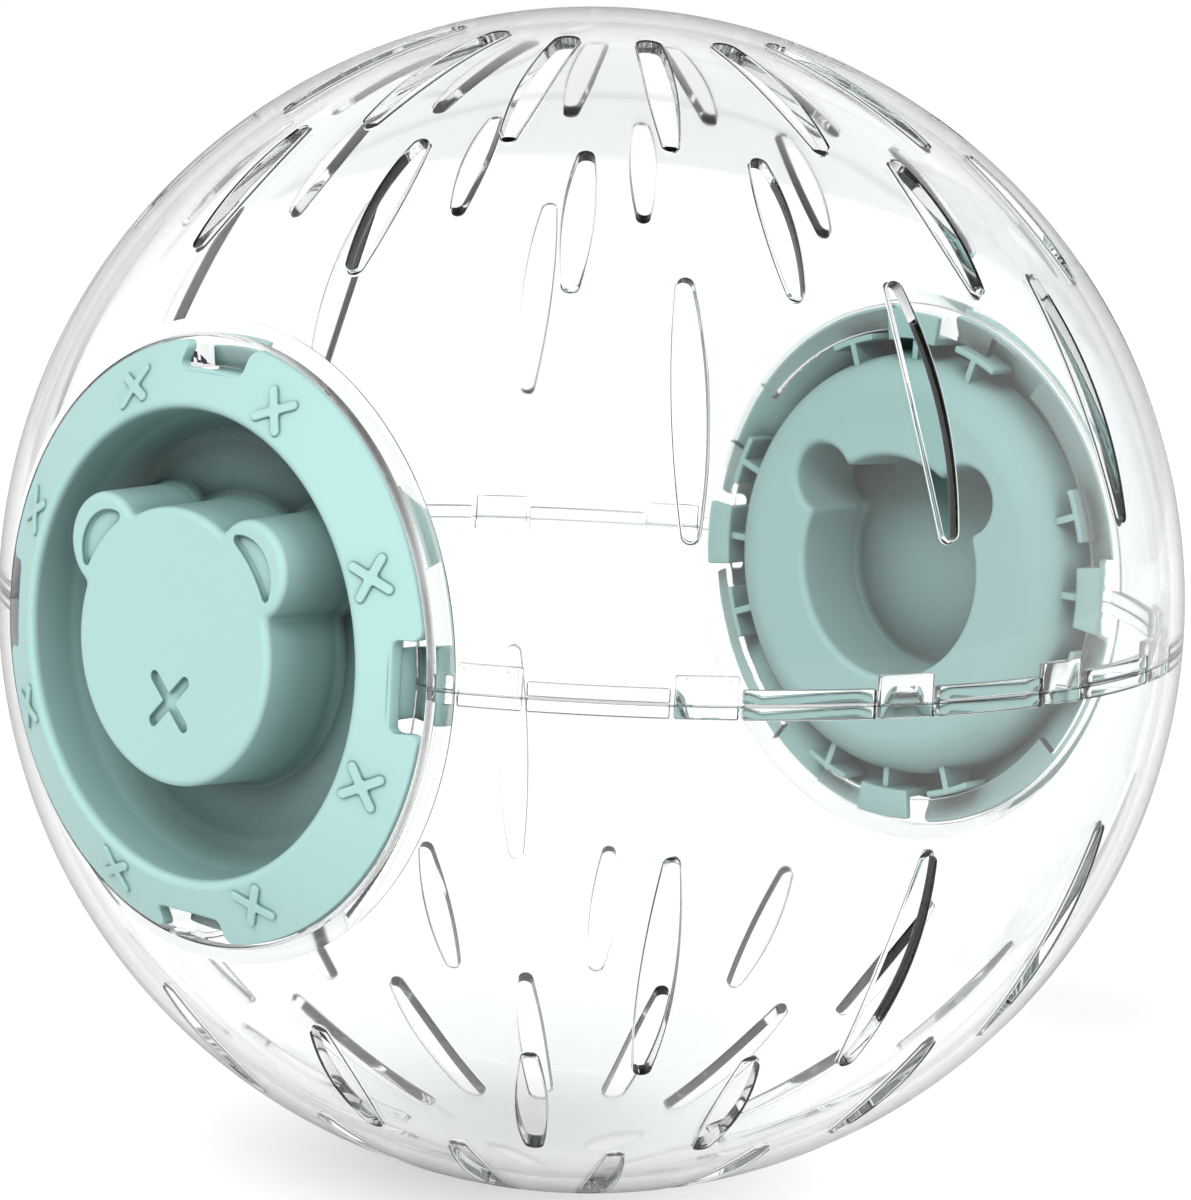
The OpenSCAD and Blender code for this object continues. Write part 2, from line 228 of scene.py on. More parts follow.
def maths(tree, operation, *values):
    """A Math node: each value is a number or another node's output."""
    n = node(tree, "ShaderNodeMath", operation=operation)
    for i, value in enumerate(values):
        if isinstance(value, (int, float)):
            n.inputs[i].default_value = value
        else:
            tree.links.new(value, n.inputs[i])
    return n.outputs[0]


# %% The ring group
RING_INPUTS = (("Groups", "Int", 1), ("In a group", "Int", 1), ("Pitch", "Float", 0.0),
               ("Shift", "Float", 0.0), ("Clear of X", "Float", 0.0))


def ring_group():
    """Turns copies of a part round Z. Clear of X leaves out those within an angle of the X axis."""
    tree = bpy.data.node_groups.new("Ring of parts", "GeometryNodeTree")
    socket(tree, "Part", "NodeSocketGeometry")
    for label, kind, value in RING_INPUTS:
        socket(tree, label, "NodeSocket" + kind, value=value)
    socket(tree, "Ring", "NodeSocketGeometry", "OUTPUT")
    ins, outs = node(tree, "NodeGroupInput"), node(tree, "NodeGroupOutput")
    index = node(tree, "GeometryNodeInputIndex").outputs[0]
    groups, each = ins.outputs["Groups"], ins.outputs["In a group"]
    total = maths(tree, "MULTIPLY", groups, each)
    group = maths(tree, "FLOOR", maths(tree, "DIVIDE", index, each))
    place = maths(tree, "SUBTRACT", index, maths(tree, "MULTIPLY", group, each))
    middle = maths(tree, "MULTIPLY", maths(tree, "SUBTRACT", each, 1.0), 0.5)
    step = maths(tree, "DIVIDE", 2 * math.pi, groups)
    angle = maths(tree, "ADD", maths(tree, "MULTIPLY", group, step),
                  maths(tree, "ADD", ins.outputs["Shift"],
                        maths(tree, "MULTIPLY", maths(tree, "SUBTRACT", place, middle),
                              ins.outputs["Pitch"])))
    off_door = maths(tree, "ABSOLUTE", maths(tree, "SINE", angle))
    keep = maths(tree, "GREATER_THAN", off_door, maths(tree, "SINE", ins.outputs["Clear of X"]))
    always = maths(tree, "LESS_THAN", ins.outputs["Clear of X"], 1e-6)
    points = node(tree, "GeometryNodePoints")
    tree.links.new(total, points.inputs["Count"])
    turn = node(tree, "ShaderNodeCombineXYZ")
    tree.links.new(angle, turn.inputs["Z"])
    copies = node(tree, "GeometryNodeInstanceOnPoints")
    tree.links.new(points.outputs[0], copies.inputs["Points"])
    tree.links.new(maths(tree, "MAXIMUM", keep, always), copies.inputs["Selection"])
    tree.links.new(ins.outputs["Part"], copies.inputs["Instance"])
    tree.links.new(turn.outputs[0], copies.inputs["Rotation"])
    real = node(tree, "GeometryNodeRealizeInstances")
    tree.links.new(copies.outputs[0], real.inputs[0])
    tree.links.new(real.outputs[0], outs.inputs[0])
    return tree


RING = ring_group()
print("the ring group has", len(RING.nodes), "nodes")


# %% Trees that cut or join a ring
def ring_tree(name, operation):
    """A modifier tree that cuts a ring of parts from a piece, or joins it on."""
    tree = bpy.data.node_groups.new(name, "GeometryNodeTree")
    socket(tree, "Geometry", "NodeSocketGeometry")
    socket(tree, "Part", "NodeSocketObject")
    for label, kind, value in RING_INPUTS:
        socket(tree, label, "NodeSocket" + kind, value=value)
    socket(tree, "Material", "NodeSocketMaterial")
    socket(tree, "Geometry", "NodeSocketGeometry", "OUTPUT")
    ins, outs = node(tree, "NodeGroupInput"), node(tree, "NodeGroupOutput")
    part = node(tree, "GeometryNodeObjectInfo", transform_space="ORIGINAL")
    tree.links.new(ins.outputs["Part"], part.inputs["Object"])
    ring = node(tree, "GeometryNodeGroup", node_tree=RING)
    tree.links.new(part.outputs["Geometry"], ring.inputs["Part"])
    for label, _, _ in RING_INPUTS:
        tree.links.new(ins.outputs[label], ring.inputs[label])
    mix = node(tree, "GeometryNodeMeshBoolean", operation=operation, solver="EXACT")
    own = "Mesh 1" if operation == "DIFFERENCE" else "Mesh 2"
    tree.links.new(ins.outputs["Geometry"], mix.inputs[own])
    tree.links.new(ring.outputs[0], mix.inputs["Mesh 2"])
    real = node(tree, "GeometryNodeRealizeInstances")
    tree.links.new(mix.outputs["Mesh"], real.inputs[0])
    finish = node(tree, "GeometryNodeSetMaterial")
    tree.links.new(real.outputs[0], finish.inputs["Geometry"])
    tree.links.new(ins.outputs["Material"], finish.inputs["Material"])
    tree.links.new(finish.outputs[0], outs.inputs[0])
    return tree


CUT_RING = ring_tree("Cut a ring", "DIFFERENCE")
JOIN_RING = ring_tree("Join a ring", "UNION")
print("node groups:", [t.name for t in bpy.data.node_groups])

# %% Using the rings
SCRAPS = []              # cutters and parts that are used up, and removed at the end


def bake_modifiers(piece):
    """Turns what the modifiers make into the piece's own plain mesh."""
    graph = bpy.context.evaluated_depsgraph_get()
    mesh = bpy.data.meshes.new_from_object(piece.evaluated_get(graph))
    piece.modifiers.clear()
    piece.data = mesh
    return piece


def ring_of(piece, tree, part, material, groups=1, each=1, pitch=0.0, shift=0.0, clear=0.0):
    """Runs a ring tree on a piece. Angles are in degrees."""
    modifier = piece.modifiers.new(part.name, "NODES")
    modifier.node_group = tree
    values = {"Part": part, "Groups": groups, "In a group": each, "Pitch": math.radians(pitch),
              "Shift": math.radians(shift), "Clear of X": math.radians(clear),
              "Material": material}
    for item in tree.interface.items_tree:
        if item.in_out == "INPUT" and item.name in values:
            modifier[item.identifier] = values[item.name]
    if part not in SCRAPS:
        SCRAPS.append(part)
    return bake_modifiers(piece)


def combine(piece, other, operation):
    """One plain boolean with another object, which is then scrap."""
    modifier = piece.modifiers.new("combine", "BOOLEAN")
    modifier.operation, modifier.solver, modifier.object = operation, "EXACT", other
    SCRAPS.append(other)
    return bake_modifiers(piece)


def place(piece, matrix):
    piece.data.transform(matrix)
    piece.data.update()
    return piece


# %% Counting
def tri_count(piece):
    return sum(len(p.vertices) - 2 for p in piece.data.polygons)


def open_edges(piece):
    """How many edges don't join exactly two faces: a closed solid has none."""
    faces_at = Counter(edge for p in piece.data.polygons for edge in p.edge_keys)
    return sum(n != 2 for n in faces_at.values())


# %% [markdown]
# ## Plastics
#
# The shells are clear polystyrene: a true refracting solid, so that every slot edge and bar bends
# the light as the real one does, with a painted darkening where a wall is seen edge on. The doors
# are dyed polypropylene, satin, with the faint grain that a mould's spark-eroded face leaves and
# with painted shade in their recesses. Both share one group for that grain.

# %% The mould grain group
def mould_grain():
    """Fine noise for the height of the grain, and slow noise that clouds colour and gloss."""
    tree = bpy.data.node_groups.new("Mould grain", "ShaderNodeTree")
    socket(tree, "Scale", "NodeSocketFloat", value=900.0)
    socket(tree, "Drift", "NodeSocketFloat", value=18.0)
    socket(tree, "Height", "NodeSocketFloat", "OUTPUT")
    socket(tree, "Cloud", "NodeSocketFloat", "OUTPUT")
    ins, outs = node(tree, "NodeGroupInput"), node(tree, "NodeGroupOutput")
    where = node(tree, "ShaderNodeTexCoord")
    for size, detail, result in (("Scale", 3.0, "Height"), ("Drift", 2.0, "Cloud")):
        noise = node(tree, "ShaderNodeTexNoise")
        noise.inputs["Detail"].default_value = detail
        tree.links.new(where.outputs["Object"], noise.inputs["Vector"])
        tree.links.new(ins.outputs[size], noise.inputs["Scale"])
        tree.links.new(noise.outputs[0], outs.inputs[result])
    return tree


GRAIN = mould_grain()
print("grain group outputs:", [i.name for i in GRAIN.interface.items_tree if i.in_out == "OUTPUT"])


# %% Small helpers for materials
def fresh_material(name):
    material = bpy.data.materials.new(name)
    material.use_nodes = True
    tree = material.node_tree
    return material, tree, tree.nodes["Principled BSDF"]


def span(tree, value, low, high, out_low=0.0, out_high=1.0):
    """Maps a value between low and high onto the range from out_low to out_high."""
    n = node(tree, "ShaderNodeMapRange")
    for label, number in (("From Min", low), ("From Max", high),
                          ("To Min", out_low), ("To Max", out_high)):
        n.inputs[label].default_value = number
    tree.links.new(value, n.inputs["Value"])
    return n.outputs["Result"]


def ramp(tree, value, low, high, colours):
    """Maps a value between low and high onto a mix of two colours."""
    mix = node(tree, "ShaderNodeMix", data_type="RGBA")
    mix.inputs["A"].default_value, mix.inputs["B"].default_value = colours
    tree.links.new(span(tree, value, low, high), mix.inputs["Factor"])
    return mix.outputs["Result"]


# %% Clear plastic
def clear_plastic():
    material, tree, bsdf = fresh_material("clear polystyrene")
    bsdf.inputs["Base Color"].default_value = (0.985, 1.0, 0.998, 1.0)
    bsdf.inputs["Transmission Weight"].default_value = 1.0
    bsdf.inputs["IOR"].default_value = 1.5
    grain = node(tree, "ShaderNodeGroup", node_tree=GRAIN)
    grain.inputs["Scale"].default_value = 300.0
    grain.inputs["Drift"].default_value = 25.0
    tree.links.new(span(tree, grain.outputs["Cloud"], 0.35, 0.65, 0.0, 0.03),
                   bsdf.inputs["Roughness"])
    # Painted shade: the wall is darkened where the eye meets it edge on, as round the ball's
    # outline, in place of the dark surroundings that a real wall reflects and bends there
    edge, painted_edge_grey = node(tree, "ShaderNodeMixShader"), node(tree, "ShaderNodeBsdfTransparent")
    painted_edge_grey.inputs["Color"].default_value = (0.3, 0.31, 0.31, 1)
    facing = node(tree, "ShaderNodeLayerWeight").outputs["Facing"]
    tree.links.new(span(tree, facing, 0.72, 1.0, 0.0, 0.65), edge.inputs[0])
    tree.links.new(bsdf.outputs[0], edge.inputs[1])
    tree.links.new(painted_edge_grey.outputs[0], edge.inputs[2])
    # Lamps reach what is behind the plastic, as they do behind a real thin wall
    path, through = node(tree, "ShaderNodeLightPath"), node(tree, "ShaderNodeBsdfTransparent")
    through.inputs["Color"].default_value = (0.99, 0.99, 0.99, 1)
    pick = node(tree, "ShaderNodeMixShader")
    tree.links.new(path.outputs["Is Shadow Ray"], pick.inputs[0])
    tree.links.new(edge.outputs[0], pick.inputs[1])
    tree.links.new(through.outputs[0], pick.inputs[2])
    tree.links.new(pick.outputs[0], tree.nodes["Material Output"].inputs["Surface"])
    return material


CLEAR = clear_plastic()
print(CLEAR.name, "has", len(CLEAR.node_tree.nodes), "nodes")

# %% Mint plastic
MINTS = ((0.435, 0.69, 0.66, 1), (0.455, 0.71, 0.68, 1))
# Painted shade in recesses, which darkens the colour where the surface closes in, as shadow would:
# how far it looks for walls, how open a place is where the shade is full and where it ends, the
# brightness that it leaves, and how much of it a side wall gets. Grooves and corners come first,
# and then the dish and the knob's hollow, whose floors are shaded most.
PAINTED_RECESS_SHADES = ((3.5 * MM, 0.3, 1.0, 0.45, 1.0), (40 * MM, 0.4, 0.86, 0.04, 0.5))
PAINTED_SHADE_TINT = (0.85, 1.1, 1.05)


def paint_shade_in_recesses(tree, colour):
    """Paints shade into a colour where the surface around it closes in, darkening recesses as
    shadow would.
    """
    across = node(tree, "ShaderNodeSeparateXYZ")
    tree.links.new(node(tree, "ShaderNodeTexCoord").outputs["Normal"], across.inputs[0])
    outward_part = maths(tree, "ABSOLUTE", across.outputs["X"])
    for reach, full, none, shade, side in PAINTED_RECESS_SHADES:
        hollow = node(tree, "ShaderNodeAmbientOcclusion", samples=8, only_local=True)
        hollow.inputs["Distance"].default_value = reach
        closed = maths(tree, "MULTIPLY", span(tree, hollow.outputs["AO"], full, none, 1.0, 0.0),
                       span(tree, outward_part, 0.3, 0.9, side, 1.0))
        # Painted shade: the colour is multiplied darker where the surface closes in
        painted_shade_mix = node(tree, "ShaderNodeMix", data_type="RGBA", blend_type="MULTIPLY")
        tree.links.new(closed, painted_shade_mix.inputs["Factor"])
        tree.links.new(colour, painted_shade_mix.inputs["A"])
        painted_shade_mix.inputs["B"].default_value = (*(part * shade for part in PAINTED_SHADE_TINT), 1)
        colour = painted_shade_mix.outputs["Result"]
    return colour


def mint_plastic():
    material, tree, bsdf = fresh_material("mint polypropylene")
    grain = node(tree, "ShaderNodeGroup", node_tree=GRAIN)
    colour = ramp(tree, grain.outputs["Cloud"], 0.3, 0.7, MINTS)
    # The base colour carries painted shade in the recesses
    tree.links.new(paint_shade_in_recesses(tree, colour), bsdf.inputs["Base Color"])
    tree.links.new(span(tree, grain.outputs["Cloud"], 0.3, 0.7, 0.42, 0.5),
                   bsdf.inputs["Roughness"])
    bump = node(tree, "ShaderNodeBump")
    bump.inputs["Strength"].default_value = 0.08
    bump.inputs["Distance"].default_value = 0.05 * MM
    tree.links.new(grain.outputs["Height"], bump.inputs["Height"])
    tree.links.new(bump.outputs[0], bsdf.inputs["Normal"])
    bsdf.inputs["IOR"].default_value = 1.49
    return material


MINT = mint_plastic()
print(MINT.name, "has", len(MINT.node_tree.nodes), "nodes")

# %% [markdown]
# ## Shading that follows the true surface
#
# A boolean cuts a curved face into large pieces whose averaged normals would blotch, above all in
# glass. The maker knows the exact surfaces: spheres about the ball's centre, and flat faces. So
# each corner that lies on one of them, and whose face roughly agrees, takes its exact normal.

# %% Exact normals
SHARP, AGREE = 38, 27    # degrees: a crease, and how far a face may lean from the true surface
NEAR = 0.03 * MM         # how close a corner lies to a sphere that it belongs to
NEAR_FLAT = 0.02 * MM


def values_of(items, attribute, width=1, kind=np.float32):
    """One value, or a row of them, for each item of a mesh."""
    values = np.empty(len(items) * width, kind)
    items.foreach_get(attribute, values)
    return values.reshape(-1, width) if width > 1 else values


def polish(piece, spheres, planes=()):
    """Smooth shading with creases, and exact normals on known surfaces. Spheres are radii about
    the ball's centre, and planes are (unit normal, distance) pairs."""
    mesh = piece.data
    mesh.polygons.foreach_set("use_smooth", [True] * len(mesh.polygons))
    mesh.set_sharp_from_angle(angle=math.radians(SHARP))
    normals = values_of(mesh.corner_normals, "vector", 3)
    corners = values_of(mesh.vertices, "co", 3)[values_of(mesh.loops, "vertex_index", 1, np.int32)]
    own = np.repeat(values_of(mesh.polygons, "normal", 3),
                    values_of(mesh.polygons, "loop_total", 1, np.int32), axis=0)
    limit = math.cos(math.radians(AGREE))
    reach = np.linalg.norm(corners, axis=1)
    away = corners / np.maximum(reach, 1e-9)[:, None]
    side = (own * away).sum(axis=1)
    for radius in spheres:
        hit = (np.abs(reach - radius) < NEAR) & (np.abs(side) > limit)
        normals[hit] = away[hit] * np.sign(side[hit])[:, None]
    for direction, distance in planes:
        flat = np.array(direction, np.float32)
        hit = (np.abs(corners @ flat - distance) < NEAR_FLAT) & (own @ flat > limit)
        normals[hit] = flat
    mesh.normals_split_custom_set(normals.tolist())
    mesh.update()
    return piece


# %% [markdown]
# ## The vent slots
#
# A slot is a petal: widest in the middle, with round ends. Its sides are long arcs, so the outline
# is worked out once, exactly, and lofted through the wall with rounded edges. On the real tool
# each row is one insert turned round the pole, and here it is one cutter in a ring.

# %% Petal cutters
def petal_half(length, width, end_width):
    """Half a petal, from its widest place at the origin up to its round end, right to left."""
    sag = (width - end_width) / 2
    run = length - end_width / 2
    side_r = (run * run + sag * sag) / (2 * sag)
    sweep = math.degrees(math.asin(run / side_r))
    end_r = end_width / 2 / math.cos(math.radians(sweep))
    side = arc((width / 2 - side_r, 0), side_r, 0, sweep, 14)
    tip = arc((0, run - end_r * math.sin(math.radians(sweep))), end_r, sweep, 90, 8)
    half = np.vstack([side, tip[1:]])
    return np.vstack([half, half[-2::-1] * [-1, 1]])


def petal(length, width, pole_end, seam_end):
    top = petal_half(length, width, pole_end)
    low = -petal_half(length, width, seam_end)
    return np.vstack([top[:-1], low[:-1]])


def dome(radius):
    """Height of a sphere's surface over (x, y)."""
    return lambda x, y: np.sqrt(radius * radius - x * x - y * y)


print("a petal outline has", len(petal(1, 0.3, 0.2, 0.2)), "points")

# %% Slot cutters
CUT_EDGE = 0.35 * MM     # rounding that slots and notches get
COLUMNS = 14


def slot_cutter(name, lat, length, width, pole_end, seam_end):
    """Latitude and length are in degrees, and the widths in mm: middle, pole end and seam end."""
    half = BALL_R * math.sin(math.radians(length / 2))
    outline = petal(half, width * MM, pole_end * MM, seam_end * MM)
    outline = np.c_[-outline[:, 1], outline[:, 0]]
    plug = flared_cutter(name, outline, dome(BALL_R), dome(INNER_R), CUT_EDGE)
    return place(plug, Matrix.Rotation(math.radians(90 - lat), 4, "Y"))


# Each row with its turn from the first row and the angle that it keeps clear of the doors
slot_rows = [
    (slot_cutter("pole slot", 64, 19.5, 4.2, 3.6, 2.4), 0, 0),
    (slot_cutter("middle slot", 45, 16, 4.4, 2.4, 2.4), 180 / COLUMNS, 0),
    (slot_cutter("seam slot", 26.5, 24.5, 5, 2.4, 2.4), 0, 38),
]
print("one slot cutter has", len(slot_rows[0][0].data.vertices), "points")

# %% [markdown]
# ## The half shells
#
# Each half starts as a turned wall, closed at the pole. The ledge rings that carry the doors, the
# rim bars and, on the lower half, the snap tongues are joined on. Then the door seats, the lug
# entries and the slots are cut. The bars and tongues are rings too, in two groups that leave the
# doors free.

# %% The wall
WALL_SEGMENTS = 233      # a prime, so that no edge of the wall lies on an edge of a cutter


def turned_wall(name):
    """Half a ball: the outer curve up to the pole and the inner one back, turned about Z."""
    base = math.degrees(math.asin(HAIR / BALL_R))
    outer = arc((0, 0), BALL_R, base, 90, 64)
    inner = arc((0, 0), INNER_R, 90, base, 64)
    outer[0], outer[-1] = (cap(BALL_R, HAIR), HAIR), (0, BALL_R)
    inner[0], inner[-1] = (0, INNER_R), (cap(INNER_R, HAIR), HAIR)
    return lathe(name, np.vstack([outer, inner]), WALL_SEGMENTS)


# %% Rim bars and snap tongues
PITCH, TONGUE, ROOM, SHIFT = 19.3, 5.8, 0.4, 7.5    # degrees round the seam
SHORT_BAR = PITCH - TONGUE - 2 * ROOM
LONG_BAR = 180 - 5 * PITCH - TONGUE - 2 * ROOM
IN_WALL = 0.55 * MM      # how deep a bar's root lies in the wall that it is joined to
TONGUE_H, TONGUE_GAP = 4 * MM, 0.35 * MM


def ring_bar(name, profile, angle, edge=0.3 * MM, steps=2):
    """A bar that follows a ring: the outline (radius, height) swept through an angle."""
    piece = lathe(name, profile, start=-angle / 2, turn=angle)
    modifier = piece.modifiers.new("edge", "BEVEL")
    modifier.width, modifier.segments, modifier.limit_method = edge, steps, "ANGLE"
    modifier.angle_limit = math.radians(50)
    return bake_modifiers(piece)


root_r = INNER_R + IN_WALL
bar_profile = [(RIM_R, HAIR), (root_r, HAIR), (root_r, RIM_H), (RIM_R, RIM_H)]
short_bar = ring_bar("short rim bar", bar_profile, SHORT_BAR)
long_bar = ring_bar("long rim bar", bar_profile, LONG_BAR)
tongue_r = cap(INNER_R, TONGUE_H) - TONGUE_GAP
tongue = ring_bar("snap tongue", [(RIM_R, -RIM_H), (root_r, -RIM_H), (root_r, -TONGUE_GAP),
                                  (tongue_r, -TONGUE_GAP), (tongue_r, TONGUE_H),
                                  (RIM_R, TONGUE_H)], TONGUE)
print("rim bars of %.1f and %.1f degrees" % (SHORT_BAR, LONG_BAR))


# %% Ledges
def rounded(points, radius, corners, steps=3):
    """A closed outline with some of its corners rounded."""
    points = [np.asarray(p, float) for p in points]
    out = []
    for i, p in enumerate(points):
        if i not in corners:
            out.append(p)
            continue
        a, b = points[i - 1] - p, points[(i + 1) % len(points)] - p
        la, lb = np.linalg.norm(a), np.linalg.norm(b)
        a, b = a / la, b / lb
        half = math.acos(np.clip(a @ b, -1, 1)) / 2
        r = min(radius, 0.45 * min(la, lb) * math.tan(half))
        cut = r / math.tan(half)
        centre = p + (a + b) / np.linalg.norm(a + b) * r / math.sin(half)
        v0, v1, turn = p + a * cut - centre, p + b * cut - centre, math.pi - 2 * half
        for t in np.linspace(0, 1, steps + 1):
            v = v0 * math.sin((1 - t) * turn) + v1 * math.sin(t * turn)
            out.append(centre + v / math.sin(turn))
    return np.array(out)


def door_side(side):
    """Turns the door's own frame, +Z outwards, to the +X or the -X side of the ball."""
    return Matrix(((0, 0, side, 0), (side, 0, 0, 0), (0, 1, 0, 0), (0, 0, 0, 1)))


def ledge_ring():
    """The ring that carries a door. Its inner corners are round, and the others are in the wall."""
    section = [(HOLE_R, LEDGE_BACK), (RING_R, LEDGE_BACK), (RING_R, LEDGE_FRONT),
               (HOLE_R, LEDGE_FRONT)]
    return lathe("ledge ring", rounded(section, 0.4 * MM, corners=(0, 3)))


# %% Seats and lug entries
SEAT_EDGE = 0.4 * MM
SEAT_SINK = 0.1 * SEAT_EDGE   # how much lower the flare lies, as the ball's surface leans
SEAT_LEAN = 29                # degrees by which it leans at the seat's edge
SEAT_TOP = BALL_R + 5 * MM    # where the seat's cutter ends, well outside the ball
LUG_R, LUG_WIDE = 43.2 * MM, 11.2 * MM
ENTRY_GAP = 0.5 * MM          # room round a lug where it goes in
ENTRY_ANGLE = 2 * math.degrees(math.asin((LUG_WIDE / 2 + ENTRY_GAP) / LUG_R))
ENTRY_TURN = 30               # degrees from the closed place to the open one


def seat_cutter():
    """Clears the wall over the ledge, and rounds the edge of the seat where it meets the ball."""
    rows = [(0, LEDGE_FRONT), (SEAT_R, LEDGE_FRONT)]
    for out, below in flare(SEAT_EDGE)[:-1]:
        rows.append((SEAT_R + out, cap(BALL_R, SEAT_R) - below - SEAT_SINK))
    slope = math.radians(FLARE_TO - SEAT_LEAN)
    rows.append((rows[-1][0] + OVER * math.sin(slope), rows[-1][1] + OVER * math.cos(slope)))
    rows += [(rows[-1][0], SEAT_TOP), (0, SEAT_TOP)]
    return lathe("seat cutter", rows)


def entry_cutter():
    """A notch through the ledge that lets one lug pass."""
    into_hole, over_front = 3 * MM, 0.5 * MM
    low, high, front = HOLE_R - into_hole, LUG_R + ENTRY_GAP, LEDGE_FRONT + over_front
    return lathe("lug entry", [(low, LUG_BACK), (high, LUG_BACK), (high, front), (low, front)],
                 start=-ENTRY_ANGLE / 2, turn=ENTRY_ANGLE)


print("lug entries of %.1f degrees, %d degrees from the lugs" % (ENTRY_ANGLE, ENTRY_TURN))


# %% The half shells
FAR = 0.2                # metres, well past the ball


def below_seam():
    """A box that clears away everything under the seam plane."""
    corners = [(x, y, z) for z in (-FAR, HAIR)
               for x, y in ((-FAR, -FAR), (FAR, -FAR), (FAR, FAR), (-FAR, FAR))]
    return add_mesh("below", corners, [(3, 2, 1, 0), (4, 5, 6, 7), (0, 1, 5, 4), (1, 2, 6, 5),
                                       (2, 3, 7, 6), (3, 0, 4, 7)])


def half_shell(name, way):
    """A half shell with its pole up. Way is -1 for the one that is then turned over."""
    shell = turned_wall(name)
    for side in (1, -1):
        combine(shell, place(ledge_ring(), door_side(side)), "UNION")
    combine(shell, below_seam(), "DIFFERENCE")
    ring_of(shell, JOIN_RING, short_bar, CLEAR, groups=2, each=5, pitch=PITCH,
            shift=way * (90 - SHIFT))
    ring_of(shell, JOIN_RING, long_bar, CLEAR, groups=2, shift=way * (180 - SHIFT))
    for side in (1, -1):
        combine(shell, place(seat_cutter(), door_side(side)), "DIFFERENCE")
        for i in range(4):
            turn = Matrix.Rotation(math.radians(ENTRY_TURN + 90 * i), 4, "Z")
            combine(shell, place(entry_cutter(), door_side(side) @ turn), "DIFFERENCE")
    for cutter, shift, clear in slot_rows:
        ring_of(shell, CUT_RING, cutter, CLEAR, groups=COLUMNS, shift=shift, clear=clear)
    return shell


upper = half_shell("upper_half", 1)
lower = place(half_shell("lower_half", -1), Matrix.Rotation(math.pi, 4, "X"))
ring_of(lower, JOIN_RING, tongue, CLEAR, groups=2, each=6, pitch=PITCH, shift=90 - SHIFT)
for half in (upper, lower):
    polish(half, spheres=(BALL_R, INNER_R))
    print(half.name, tri_count(half), "triangles,", open_edges(half), "open edges")

# %% [markdown]
# ## The doors
#
# Each door is one moulding: a flange that carries on the ball's curve, a dish sunk in it, and in
# the dish a hollow knob for the hand, shaped as a plain bear's head. One loft makes all of it. Its
# loops run from the knob's top down its side, over the dish and the flange, round the rim and back
# along the inside. They start as bear outlines and turn into circles on the way.

# %% Arcs that touch
def angle_of(p):
    return math.degrees(math.atan2(p[1], p[0]))


def fillet_centres(r, ear_r, centre):
    """The two points at distance r from the origin and ear_r from centre, the lower one first."""
    far = np.linalg.norm(centre)
    along = (r * r - ear_r * ear_r + far * far) / (2 * far)
    off = math.sqrt(r * r - along * along)
    axis = centre / far
    across = np.array([-axis[1], axis[0]])
    return along * axis - off * across, along * axis + off * across


def corner_arc(centre, a, b, steps):
    """Arc round centre from the direction of a to that of b, the short way."""
    va, vb = np.asarray(a) - centre, np.asarray(b) - centre
    r = np.linalg.norm(va)
    t0 = math.atan2(va[1], va[0])
    t1 = math.atan2(vb[1], vb[0])
    while t1 - t0 > math.pi:
        t1 -= 2 * math.pi
    while t0 - t1 > math.pi:
        t1 += 2 * math.pi
    t = np.linspace(t0, t1, steps + 1)
    return np.c_[centre[0] + r * np.cos(t), centre[1] + r * np.sin(t)]


# %% Bear outline
FILLET = 1.1 * MM
HEAD_R, EAR_R, EAR_AT = 20.3 * MM, 7.4 * MM, math.radians(40.5)
ear_centre = HEAD_R * np.array([math.cos(EAR_AT), math.sin(EAR_AT)])


def bear(grow):
    """Outline of the head with its two ears, counter-clockwise, grown by an offset."""
    head, ear = HEAD_R + grow, EAR_R + grow
    low, high = fillet_centres(head + FILLET, ear + FILLET, ear_centre)
    on_head = [p / np.linalg.norm(p) * head for p in (low, high)]
    on_ear = [ear_centre + (p - ear_centre) / np.linalg.norm(p - ear_centre) * ear
              for p in (low, high)]
    start, end = (angle_of(p) for p in on_head)
    t0, t1 = (angle_of(p - ear_centre) for p in on_ear)
    t1 += 360 if t1 < t0 else 0
    right = np.vstack([arc((0, 0), head, -90, start, 40)[:-1],
                       corner_arc(low, on_head[0], on_ear[0], 6)[:-1],
                       arc(ear_centre, ear, t0, t1, 36)[:-1],
                       corner_arc(high, on_ear[1], on_head[1], 6)[:-1],
                       arc((0, 0), head, end, 90, 16)])
    return np.vstack([right, right[-2:0:-1] * [-1, 1]])


print("bear outline of", len(bear(0)), "points")

# %% The flange and the dish
DISH_DRAFT, DISH_ROUND, LIP_ROUND, RIM_ROUND = 5, 5 * MM, 1.2 * MM, 0.5 * MM
lean = math.radians(DISH_DRAFT)
down = np.array([-math.sin(lean), -math.cos(lean)])
side_out = np.array([math.cos(lean), -math.sin(lean)])
mouth_edge = np.array([MOUTH_R, MOUTH_TOP])
side_end = mouth_edge + (DISH_DEPTH - DISH_ROUND * (1 - math.sin(lean))) / math.cos(lean) * down
corner = side_end - DISH_ROUND * side_out


def on_sphere_back(p, direction, radius):
    """The point that p reaches against direction on the sphere of a radius."""
    dot = p @ direction
    return p - (dot + math.sqrt(dot * dot - p @ p + radius * radius)) * direction


wall_foot = side_end + DOOR_T * side_out
meet = on_sphere_back(wall_foot, down, BALL_R - DOOR_T)
lip = on_sphere_back(mouth_edge + LIP_ROUND * side_out, down, BALL_R - LIP_ROUND)
rim_r = FLANGE_R - RIM_ROUND
front_c = np.array([rim_r, cap(BALL_R - RIM_ROUND, rim_r)])
back_c = np.array([rim_r, cap(BALL_R - DOOR_T + RIM_ROUND, rim_r)])
lip_a, front_a, back_a = angle_of(lip), angle_of(front_c), angle_of(back_c)
print("the dish's floor ends %.1f mm from the axis" % (corner[0] / MM))


